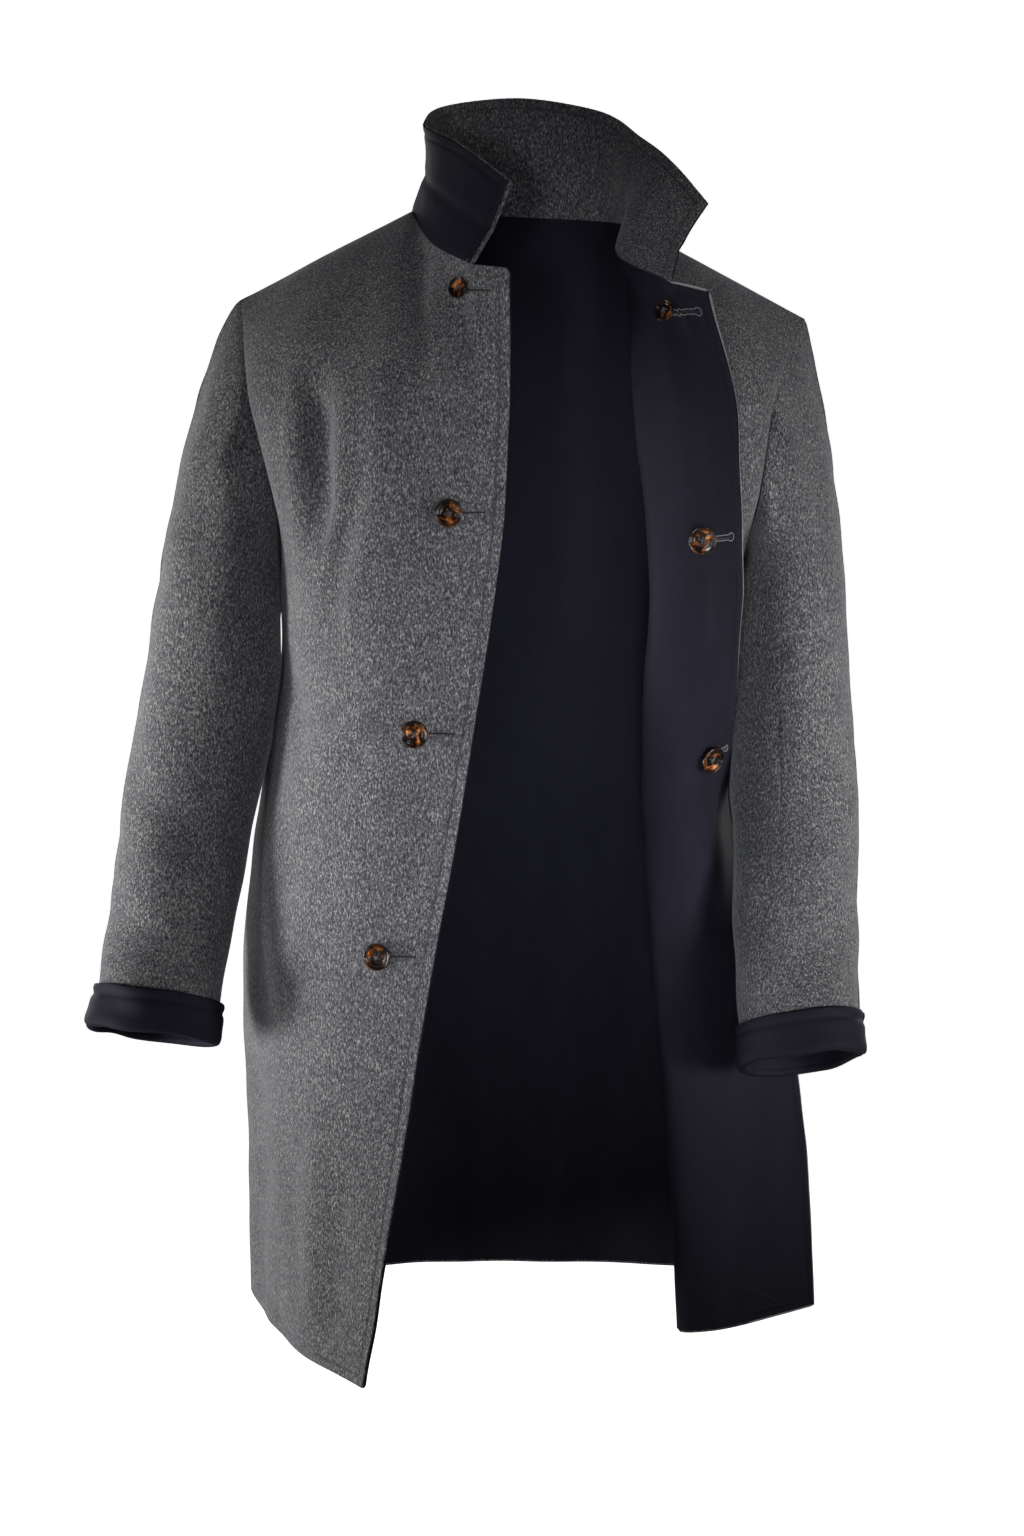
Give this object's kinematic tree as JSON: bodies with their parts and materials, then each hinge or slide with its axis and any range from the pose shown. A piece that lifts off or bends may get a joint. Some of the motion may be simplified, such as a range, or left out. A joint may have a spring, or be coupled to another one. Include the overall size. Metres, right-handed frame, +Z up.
{
  "type": "reversible_overcoat",
  "caption": "Knee-length single-breasted reversible overcoat as worn open: grey wool outside, navy cloth inside, stand-up collar, turned-up cuffs, left front folded back, horn buttons",
  "frame": {"origin": "middle of the neck, level with the neck end of the shoulder seams, where the wearer's neck and shoulders hold the coat", "axes": "+X to the right of someone facing the front of the coat (the wearer's left), -Y to the front, +Z up"},
  "size_m": [0.6624, 0.3373, 1.0641],
  "materials": {
    "wool": "brushed grey melange wool",
    "navy": "smooth dark navy nylon",
    "horn": "polished brown horn"
  },
  "bodies": {
    "root": {"front_right_wool": "wool", "front_right_navy": "navy", "front_left_wool": "wool", "front_left_navy": "navy", "back_wool": "wool", "back_navy": "navy", "collar_navy": "navy", "collar_wool": "wool", "sleeve_right_top": "wool", "sleeve_right_under": "wool", "sleeve_left_top": "wool", "sleeve_left_under": "wool", "cuff_right": "navy", "cuff_left": "navy", "button_right_1": "horn", "button_right_2": "horn", "button_right_3": "horn", "button_right_4": "horn", "button_left_1": "horn", "button_left_2": "horn", "button_left_3": "horn", "button_left_4": "horn"}
  },
  "joints": []
}
